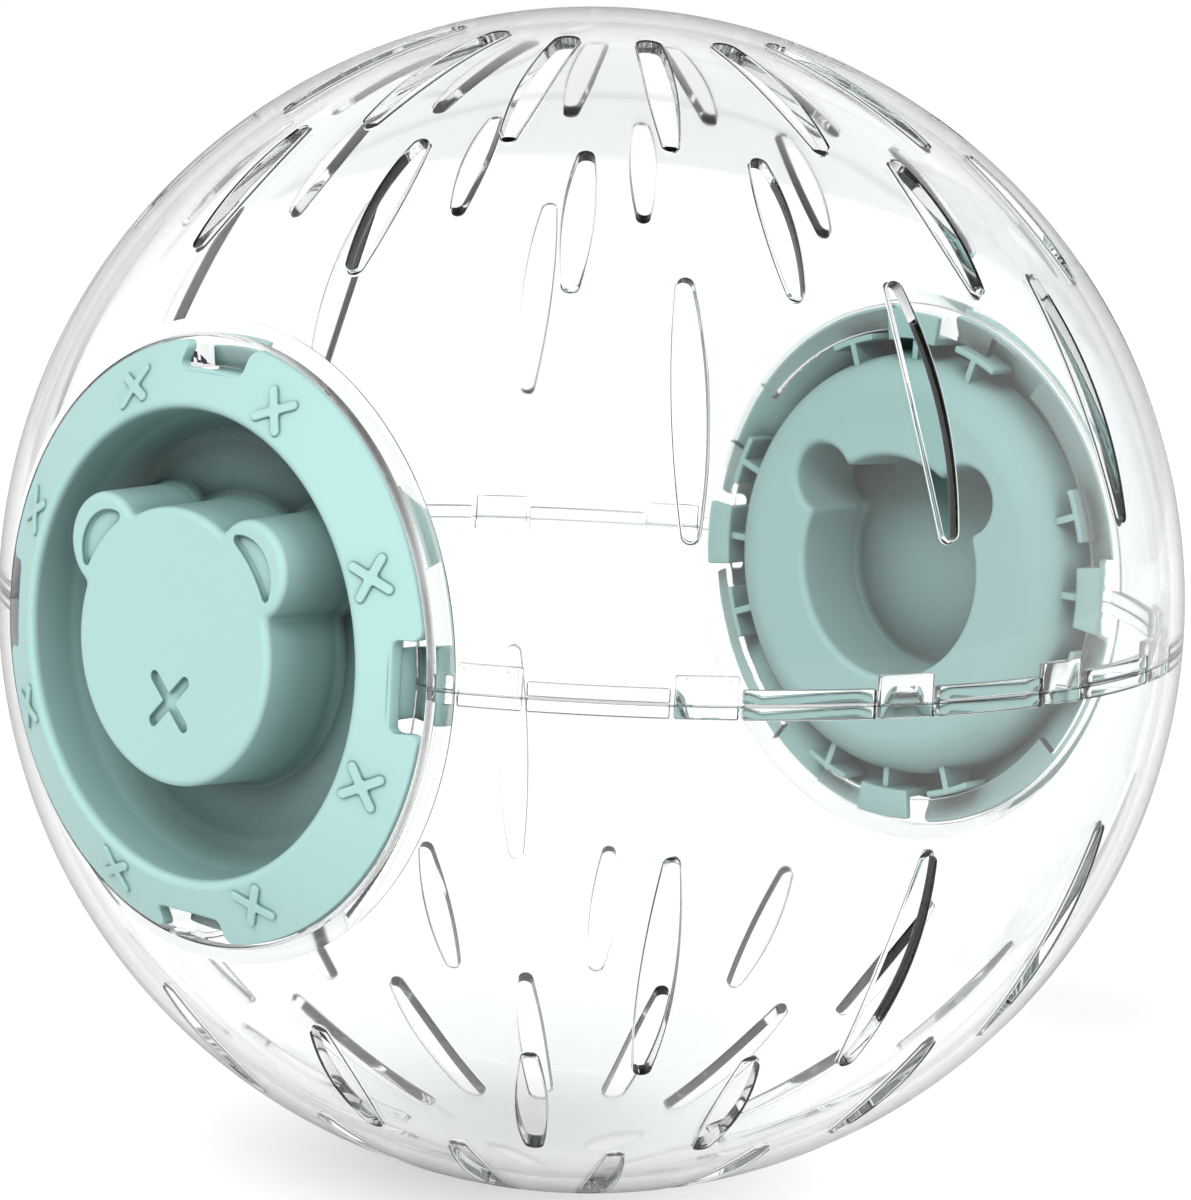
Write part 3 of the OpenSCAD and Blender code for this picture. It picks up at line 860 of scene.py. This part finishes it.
# %% Rows of the dish and the flange
def on_cap(radius, angle):
    """How far from the axis a sphere's point at an angle is."""
    return radius * math.cos(math.radians(angle))


def cap_arc(radius, start, end, steps):
    """Points over a sphere from one distance from the axis to another."""
    a = np.linspace(start, end, steps + 1)
    return np.c_[a, cap(radius, a)]


def dish_height(r):
    """Height of the dish's inside at a radius: flat floor, then the corner's rise."""
    inside = np.clip(r - corner[0], 0, 0.99 * DISH_ROUND)    # short of the upright side
    return corner[1] - np.sqrt(DISH_ROUND ** 2 - inside ** 2)


# Each row is (distance from the axis, height): from the dish's corner up and over the flange,
# round its rim, and back along the inside
dish_r = 31.2 * MM
dish_a = -math.degrees(math.acos((dish_r - corner[0]) / DISH_ROUND))
circle_rows = np.vstack([
    arc(corner, DISH_ROUND, dish_a, -DISH_DRAFT, 9),
    arc(lip, LIP_ROUND, 180 - DISH_DRAFT, lip_a, 8),
    cap_arc(BALL_R, on_cap(BALL_R, lip_a), on_cap(BALL_R, front_a), 9)[1:],
    arc(front_c, RIM_ROUND, front_a, 0, 4)[1:],
    arc(back_c, RIM_ROUND, 0, back_a - 180, 6),
    cap_arc(BALL_R - DOOR_T, on_cap(BALL_R - DOOR_T, back_a), meet[0], 7)[1:-1],
    [meet + [1e-6, 0]],    # the corner between the two, a hair outside
    arc(corner, DISH_ROUND + DOOR_T, -DISH_DRAFT, -90, 12),
])
print("dish and flange:", len(circle_rows), "loops")

# %% The knob
DRAFT, KNOB_ROUND, KNOB_ROOT, KNOB_WALL = math.radians(2), 1.2 * MM, 1.2 * MM, 2 * MM


def knob_side(grow, base, height):
    """Rows (offset from the outline, height) of a drafted side, from its rounded top edge down
    to the cove at its foot."""
    edge = np.array([grow - KNOB_ROUND, height - KNOB_ROUND])
    top = edge + KNOB_ROUND * np.array([math.cos(DRAFT), math.sin(DRAFT)])
    foot = top[0] + (top[1] - KNOB_ROOT) * math.tan(DRAFT) + KNOB_ROOT
    rows = np.vstack([arc(edge, KNOB_ROUND, 90, math.degrees(DRAFT), 7),
                      arc((foot, KNOB_ROOT), KNOB_ROOT, 180, 270, 6)])
    return rows + [0, base]


outside = knob_side(0, FLOOR, KNOB_H)
inside = knob_side(-KNOB_WALL, FLOOR - DOOR_T, KNOB_H + DOOR_T - KNOB_WALL)
print("knob side:", len(outside), "loops outside and", len(inside), "inside")

# %% One loft for the door
# A circle's points sit half way between the outline's own angles and even steps along it, so that
# the quads between the two neither bunch nor twist
plain_bear = bear(0)
N = len(plain_bear)
bear_angle = np.unwrap(np.arctan2(plain_bear[:, 1], plain_bear[:, 0]))
steps_along = np.linalg.norm(np.diff(np.vstack([plain_bear, plain_bear[:1]]), axis=0), axis=1)
share = np.r_[0, np.cumsum(steps_along)[:-1]] / steps_along.sum()
RING_ANGLE = 0.5 * bear_angle + 0.5 * (bear_angle[0] + 2 * math.pi * share)


def circle_row(r, z):
    return np.c_[r * np.cos(RING_ANGLE), r * np.sin(RING_ANGLE), np.full(N, z)]


def dish_row(o):
    return dish_height(np.hypot(o[:, 0], o[:, 1]))


def door_body():
    rows = []
    for grow, z in outside:
        o = bear(grow)
        rows.append(np.c_[o, np.maximum(z, dish_row(o))])
    foot, target = rows[-1][:, :2], circle_row(dish_r, 0)[:, :2]
    for t in np.linspace(0, 1, 9)[1:-1]:
        o = (1 - t) * foot + t * target
        rows.append(np.c_[o, dish_row(o)])
    rows += [circle_row(r, z) for r, z in circle_rows]
    back, hollow_foot = rows[-1][:, :2], bear(inside[-1][0])
    for t in (0.34, 0.67):
        rows.append(np.c_[(1 - t) * back + t * hollow_foot, np.full(N, FLOOR - DOOR_T)])
    rows += [np.c_[bear(grow), np.full(N, z)] for grow, z in inside[::-1]]
    return loft("door_body", rows)


door = door_body()
print("door body", tri_count(door), "triangles")

# %% [markdown]
# ## Notches, lugs and stand-offs
#
# Four notches in the flange's rim let fingers turn the door. Behind each is a lug, the hook that
# runs under the ledge when the door is turned. Between them T-shaped stand-offs keep the door
# centred in its hole. Notches are cut and the rest is joined, each as a ring.

# %% Notch cutter
def notch_outline():
    """Square-sided notch with round inner corners, its rim corners rounded the other way."""
    half, inner, rim_round, inner_round = 6.6 * MM, FLANGE_R - 4.4 * MM, 1.4 * MM, 0.9 * MM
    margin = 1.2 * MM    # how far the cutter stands out of the rim
    cy = half + rim_round
    c = np.array([cap(FLANGE_R - rim_round, cy), -cy])
    end = math.atan2(-cy, c[0])
    low = np.vstack([arc((inner + inner_round, inner_round - half), inner_round, 180, 270, 6),
                     [(c[0] - margin, -half)],
                     arc(c, rim_round, 90, math.degrees(end), 8),
                     [(FLANGE_R + margin) * np.array([math.cos(end), math.sin(end)])]])
    return np.vstack([low, low[::-1] * [1, -1]])


notch = flared_cutter("notch", notch_outline(), dome(BALL_R), dome(BALL_R - DOOR_T), CUT_EDGE)
ring_of(door, CUT_RING, notch, MINT, groups=4)
print("notched:", tri_count(door), "triangles")


# %% Raised crosses
def x_outline(length, width, fillet):
    """Two crossed bars with round ends, counter-clockwise, corners filleted where they cross."""
    w = width / 2
    points = []
    for k in range(4):
        turn = math.radians(45 + 90 * k)
        rot = np.array([[math.cos(turn), math.sin(turn)], [-math.sin(turn), math.cos(turn)]])
        tip = arc((length / 2 - w, 0), w, -90, 90, 8)
        inner = arc((w + fillet, w + fillet), fillet, 270, 180, 4)
        points.append(np.vstack([tip, inner]) @ rot)
    return np.vstack(points)


CROSS_H, CROSS_ROOT, CROSS_EDGE = 0.5 * MM, 0.5 * MM, 0.3 * MM
CROSS_LEAN = 0.12        # how far a cross's side leans out for each step down


def raised(name, outline, top):
    """A raised mark: its side leans, its top edge is rounded, and its foot runs below the surface
    that it stands on."""
    base = CROSS_H + CROSS_ROOT
    foot = offset(outline, CROSS_LEAN * base)
    rows = [np.c_[foot, top(foot[:, 0], foot[:, 1]) - base]]
    for a in np.radians([0, 18, 36, 54, 72, 90]):
        o = offset(outline, -CROSS_EDGE * (1 - math.cos(a)))
        rows.append(np.c_[o, top(o[:, 0], o[:, 1]) - CROSS_EDGE * (1 - math.sin(a))])
    return loft(name, rows)


cross = raised("raised cross", x_outline(length=7.8 * MM, width=1.4 * MM, fillet=0.35 * MM),
               dome(BALL_R + CROSS_H))
cross_r = (FLANGE_R + MOUTH_R) / 2 - RIM_ROUND
place(cross, Matrix.Rotation(math.asin(cross_r / BALL_R), 4, "Y"))
ring_of(door, JOIN_RING, cross, MINT, groups=8, shift=22.5)
print("crosses joined:", tri_count(door), "triangles")


# %% Ribs and plates
TURN_R = 39.6 * MM       # just inside the ledge's hole, where the door turns
PLATE_T = 1.1 * MM       # stand-off plates and all ribs
STANDOFF_WIDE, STANDOFF_PITCH = 9 * MM, 40
MID_R = BALL_R - DOOR_T / 2
rib_low = LUG_BACK + 0.6 * MM
wall_mid = corner[0] + DISH_ROUND + DOOR_T / 2


def rib(name, r):
    """A web between the dish's wall and a plate at radius r."""
    mouth_mid = MOUTH_R + DOOR_T / 2
    profile = [(wall_mid, rib_low), (r, rib_low), (r, cap(MID_R, r)),
               (mouth_mid, cap(MID_R, mouth_mid)), (wall_mid, corner[1])]
    return loft(name, [[(x, y, z) for x, z in profile] for y in (-PLATE_T / 2, PLATE_T / 2)])


def rim_plate(name, profile, width, at, edge):
    """A plate that follows the door's round, with its width measured at a radius."""
    return ring_bar(name, profile, 2 * math.degrees(math.asin(width / 2 / at)), edge, 3)


print("ribs start %.1f mm from the axis, in the dish's wall" % (wall_mid / MM))

# %% Lugs and stand-offs
stem_r = TURN_R - LUG_T
lug = rim_plate("lug", [(stem_r, LUG_BACK), (LUG_R, LUG_BACK), (LUG_R, LUG_FRONT),
                        (TURN_R, LUG_FRONT), (TURN_R, cap(MID_R, TURN_R)),
                        (stem_r, cap(MID_R, stem_r))], LUG_WIDE, LUG_R, edge=0.35 * MM)
combine(lug, rib("lug rib", stem_r + LUG_T / 2), "UNION")
plate_r = TURN_R - PLATE_T
standoff = rim_plate("stand-off", [(plate_r, rib_low), (TURN_R, rib_low),
                                   (TURN_R, cap(MID_R, TURN_R)), (plate_r, cap(MID_R, plate_r))],
                     STANDOFF_WIDE, TURN_R, edge=0.25 * MM)
combine(standoff, rib("stand-off rib", plate_r + PLATE_T / 2), "UNION")
ring_of(door, JOIN_RING, lug, MINT, groups=4)
ring_of(door, JOIN_RING, standoff, MINT, groups=4, each=2, pitch=STANDOFF_PITCH)
print("lugs and stand-offs joined:", tri_count(door), "triangles")

# %% [markdown]
# ## The face
#
# The ears carry half-moon hollows, and one cross is sunk in the middle below: plain generic marks
# that also give the fingers a grip. They are blind cutters with flared rims.

# %% Half-moon outline
MOON_R, MOON_AT = 6.2 * MM, 18.4 * MM     # the ears' small circles, and how far out they lie
MOON_INNER = HEAD_R + 0.6 * MM            # the circle round the head that ends a moon
MOON_ROUND = 0.7 * MM


def moon_outline():
    """The part of the right ear's small circle that lies outside a circle round the head."""
    centre = ear_centre * (MOON_AT / HEAD_R)
    inner_r = MOON_R - MOON_ROUND
    low, high = fillet_centres(MOON_INNER + MOON_ROUND, inner_r, centre)
    on_head = [p / np.linalg.norm(p) * MOON_INNER for p in (low, high)]
    on_ear = [centre + (p - centre) / inner_r * MOON_R for p in (low, high)]
    h0, h1 = (angle_of(p) for p in on_head)
    t0, t1 = (angle_of(p - centre) for p in on_ear)
    t1 += 360 if t1 < t0 else 0
    return np.vstack([corner_arc(low, on_head[0], on_ear[0], 6),
                      arc(centre, MOON_R, t0, t1, 28)[1:-1],
                      corner_arc(high, on_ear[1], on_head[1], 6),
                      arc((0, 0), MOON_INNER, h1, h0, 14)[1:-1]])


moon = moon_outline()
print("half-moon outline of", len(moon), "points")

# %% Pockets
POCKET_FOOT = 0.3 * MM   # rounding at the bottom
POCKET_OVER = 3 * MM     # how far the cutter stands out of the face
MOON_DEPTH, MOON_EDGE = 0.9 * MM, 0.3 * MM
SUNK_DEPTH, SUNK_EDGE, SUNK_AT = 0.8 * MM, 0.25 * MM, -8 * MM   # the cross


def pocket(name, outline, depth, edge):
    """A cutter for a pocket in the knob's face: rounded foot, straight side and flared rim."""
    rows = []
    for a in np.radians([90, 60, 30, 0]):
        o = offset(outline, -POCKET_FOOT * (1 - math.cos(a)))
        rows.append(np.c_[o, np.full(len(o), FACE - depth + POCKET_FOOT * (1 - math.sin(a)))])
    for out, below in flare(edge):
        o = offset(outline, out)
        rows.append(np.c_[o, np.full(len(o), FACE - below)])
    rows.append(np.c_[o, np.full(len(o), FACE + POCKET_OVER)])
    return loft(name, rows)


for outline in (moon, moon[::-1] * [-1, 1]):
    combine(door, pocket("ear moon", outline, MOON_DEPTH, MOON_EDGE), "DIFFERENCE")
sunk = pocket("mouth cross", x_outline(length=10.8 * MM, width=1.7 * MM, fillet=0.3 * MM),
              SUNK_DEPTH, SUNK_EDGE)
combine(door, place(sunk, Matrix.Translation((0, SUNK_AT, 0))), "DIFFERENCE")
print("face cut:", tri_count(door), "triangles,", open_edges(door), "open edges")

# %% Two doors from one mould
OUT, IN = (0, 0, 1), (0, 0, -1)
flat_faces = [(OUT, FACE), (OUT, FLOOR), (IN, DOOR_T - FLOOR), (OUT, FACE - MOON_DEPTH),
              (OUT, FACE - SUNK_DEPTH)]
polish(door, spheres=(BALL_R, BALL_R - DOOR_T, BALL_R + CROSS_H), planes=flat_faces)


def door_on(side, name):
    """A copy of the door, turned to its side of the ball together with its exact normals."""
    copy = door.copy()
    copy.data = door.data.copy()
    copy.name = copy.data.name = name
    bpy.context.scene.collection.objects.link(copy)
    kept, turn = values_of(copy.data.corner_normals, "vector", 3), door_side(side)
    place(copy, turn)
    copy.data.normals_split_custom_set((kept @ np.array(turn.to_3x3(), np.float32).T).tolist())
    return copy


left, right = door_on(-1, "left_door_moulding"), door_on(1, "right_door_moulding")
SCRAPS.append(door)
print("doors:", left.name, "and", right.name)

# %% [markdown]
# ## Bodies, slots and the frame
#
# Each moulding rides on the body of the same name, so a joint carries it as it carries the real
# piece. It is given its plastic, and stands for the plain solid, which stays in the physics but
# isn't shown. What was only a tool is removed.

# %% Ride on the bodies
for piece, body, material, slot in ((upper, "upper_shell", CLEAR, "clear_plastic"),
                                    (lower, "lower_shell", CLEAR, "clear_plastic"),
                                    (left, "left_door", MINT, "mint_plastic"),
                                    (right, "right_door", MINT, "mint_plastic")):
    piece.data.materials.clear()
    piece.data.materials.append(material)
    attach(piece, body)
    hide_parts(body)
for scrap in SCRAPS:
    bpy.data.objects.remove(scrap)

# %% [markdown]
# ## Studio
#
# A plain pale floor, a white surround and soft light. Clear plastic shows only what it bends, so
# the surround is white round the horizon and falls away to dark overhead and underneath, which
# draws the slots' edges as it does in a photographer's tent. The floor and the surround are white
# to the camera and through the plastic by colour alone, and the lamps stay at a plain level.

# %% Floor
def seen_directly(tree):
    """1 for the camera's rays and those that reflect or pass through clear plastic, and 0 for
    light that is on its way to a dull surface."""
    path = node(tree, "ShaderNodeLightPath")
    sight = maths(tree, "MAXIMUM", path.outputs["Is Camera Ray"],
                  maths(tree, "MAXIMUM", path.outputs["Is Glossy Ray"],
                        path.outputs["Is Transmission Ray"]))
    scattered = maths(tree, "MINIMUM", path.outputs["Diffuse Depth"], 1.0)
    return maths(tree, "SUBTRACT", sight, maths(tree, "MULTIPLY", sight, scattered)), path


FLOOR_HALF = 3.0         # metres


def pale_floor():
    corners = [(x * FLOOR_HALF, y * FLOOR_HALF, -BALL_R)
               for x, y in ((-1, -1), (1, -1), (1, 1), (-1, 1))]
    floor = add_mesh("floor", corners, [(0, 1, 2, 3)])
    material, tree, bsdf = fresh_material("pale floor")
    bsdf.inputs["Base Color"].default_value = (0.6, 0.6, 0.6, 1)
    bsdf.inputs["Roughness"].default_value = 0.9
    bsdf.inputs["Specular IOR Level"].default_value = 0.0
    bsdf.inputs["Emission Color"].default_value = (1, 1, 1, 1)
    seen, _ = seen_directly(tree)
    tree.links.new(maths(tree, "MULTIPLY", seen, 0.45), bsdf.inputs["Emission Strength"])
    floor.data.materials.append(material)
    return floor


floor = pale_floor()
print(floor.name, "is", 2 * FLOOR_HALF, "m wide")

# %% World
world = bpy.data.worlds.new("studio")
bpy.context.scene.world = world
world.use_nodes = True
tree = world.node_tree
tree.nodes.clear()
dim, surround = node(tree, "ShaderNodeBackground"), node(tree, "ShaderNodeBackground")
dim.inputs["Strength"].default_value = 0.25
pick, out = node(tree, "ShaderNodeMixShader"), node(tree, "ShaderNodeOutputWorld")
seen, path = seen_directly(tree)
where, split = node(tree, "ShaderNodeTexCoord"), node(tree, "ShaderNodeSeparateXYZ")
tree.links.new(where.outputs["Generated"], split.inputs[0])
overhead = span(tree, maths(tree, "ABSOLUTE", split.outputs["Z"]), 0.5, 0.92, 1.0, 0.08)
tree.links.new(maths(tree, "MAXIMUM", overhead, path.outputs["Is Camera Ray"]),
               surround.inputs["Color"])
tree.links.new(seen, pick.inputs[0])
tree.links.new(dim.outputs[0], pick.inputs[1])
tree.links.new(surround.outputs[0], pick.inputs[2])
tree.links.new(pick.outputs[0], out.inputs[0])
print("world", world.name, "has", len(tree.nodes), "nodes")

# %% [markdown]
# ## Camera and lamps
#
# The camera was fitted to the photograph: the ball's outline is one circle, and the doors' circles
# and the slots give the direction. It stands at an azimuth, an elevation and a distance, looks at
# the ball's centre with a small roll, and is shifted so that the centre falls where it should. The
# lamps are wide, soft suns. They don't show in the glossy plastic, so it stays clear.

# %% Camera
WIDE, HIGH = 1191, 1200                  # the photograph's frame, in pixels
AZ, EL, ROLL = -47.1643, 8.8783, 3.0631  # degrees
AWAY, BALL_PX = 8.4769, 593.5            # distance in ball radii, and the ball's radius in pixels
CENTRE_X, CENTRE_Y = 591.6124, 599.9626  # the ball's centre in the frame
DIST, FOCAL = AWAY * BALL_R, BALL_PX * math.sqrt(AWAY ** 2 - 1)
az, el, roll = (math.radians(v) for v in (AZ, EL, ROLL))
back = Vector((math.sin(az) * math.cos(el), -math.cos(az) * math.cos(el), math.sin(el)))
level = Vector((math.cos(az), math.sin(az), 0))
upright = back.cross(level)
image_right = math.cos(roll) * level + math.sin(roll) * upright
image_up = -math.sin(roll) * level + math.cos(roll) * upright
camera_data = bpy.data.cameras.new("camera")
camera = bpy.data.objects.new("camera", camera_data)
bpy.context.scene.collection.objects.link(camera)
camera.matrix_world = Matrix((
    (image_right.x, image_up.x, back.x, back.x * DIST),
    (image_right.y, image_up.y, back.y, back.y * DIST),
    (image_right.z, image_up.z, back.z, back.z * DIST),
    (0, 0, 0, 1)))
camera_data.lens = FOCAL / HIGH * camera_data.sensor_width
camera_data.shift_x = (WIDE / 2 - CENTRE_X) / HIGH
camera_data.shift_y = (CENTRE_Y - HIGH / 2) / HIGH
bpy.context.scene.camera = camera
print("camera %.2f m away, lens %.1f mm" % (DIST, camera_data.lens))


# %% Lamps
def soft_sun(name, comes_from, strength, angle):
    """A sun whose disc is so wide, in degrees, that its shadows have no edge."""
    data = bpy.data.lights.new(name, "SUN")
    data.energy, data.angle = strength, math.radians(angle)
    lamp = bpy.data.objects.new(name, data)
    bpy.context.scene.collection.objects.link(lamp)
    lamp.rotation_euler = Vector(comes_from).to_track_quat("Z", "Y").to_euler()
    lamp.visible_glossy = lamp.visible_transmission = False
    return lamp


soft_sun("left key", (-1.0, -0.25, 0.95), 2.0, 30)
soft_sun("right key", (1.0, -0.1, 0.95), 1.9, 30)
soft_sun("front fill", (-0.6, -1.0, 0.5), 1.1, 60)
soft_sun("back fill", (0.6, 1.0, 0.5), 0.7, 60)
bpy.context.scene.view_settings.view_transform = "Standard"
